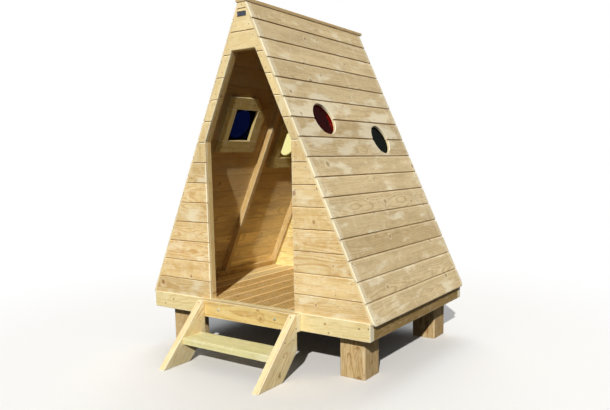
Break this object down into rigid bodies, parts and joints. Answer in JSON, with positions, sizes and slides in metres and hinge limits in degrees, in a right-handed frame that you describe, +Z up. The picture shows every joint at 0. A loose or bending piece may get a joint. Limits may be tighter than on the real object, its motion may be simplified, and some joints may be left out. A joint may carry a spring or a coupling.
{
  "type": "a-frame cabin",
  "caption": "Children's timber A-frame cabin with steep boarded slopes, an open doorway, round coloured windows, a raised floor on square posts and a front step.",
  "frame": {"origin": "middle of the whole cabin's box, on the ground", "axes": "+X to the right seen from the front, +Y from the front to the back, +Z up"},
  "size_m": [1.5552, 1.5098, 1.926],
  "materials": {
    "post": "planed, strong grain",
    "green_board": "planed, pressure treated",
    "frame_board": "planed, pressure treated",
    "deck": "fine ribs",
    "cladding": "planed, pressure treated",
    "step_board": "planed, pressure treated",
    "blue_pane": "tinted clear sheet",
    "yellow_pane": "tinted clear sheet",
    "red_pane": "tinted clear sheet",
    "green_pane": "tinted clear sheet",
    "plate": "satin, bare"
  },
  "bodies": {
    "root": {"post_front_left": "post", "post_front_right": "post", "post_back_left": "post", "post_back_right": "post", "rim_front": "green_board", "rim_back": "green_board", "rim_left": "frame_board", "rim_right": "frame_board", "floor_joists": "frame_board", "floor_deck": "deck", "front_wall_left": "cladding", "front_wall_left_upper": "cladding", "front_wall_right": "cladding", "front_wall_right_upper": "cladding", "front_gable": "cladding", "back_wall": "cladding", "left_slope": "cladding", "right_slope": "cladding", "ridge_cap": "cladding", "front_rafter_left": "frame_board", "front_rafter_right": "frame_board", "middle_rafter_left": "frame_board", "middle_rafter_right": "frame_board", "back_rafter_left": "frame_board", "back_rafter_right": "frame_board", "foot_rails_left": "frame_board", "foot_rails_right": "frame_board", "door_post_left": "frame_board", "door_post_right": "frame_board", "door_head": "frame_board", "window_frame_left_front": "frame_board", "window_frame_left_back": "frame_board", "window_frame_right_front": "frame_board", "window_frame_right_back": "frame_board", "pane_blue": "blue_pane", "pane_yellow": "yellow_pane", "pane_red": "red_pane", "pane_green": "green_pane", "step_back_board": "step_board", "step_side_left": "green_board", "step_side_right": "green_board", "step_tread": "green_board", "name_plate": "plate"}
  },
  "joints": []
}
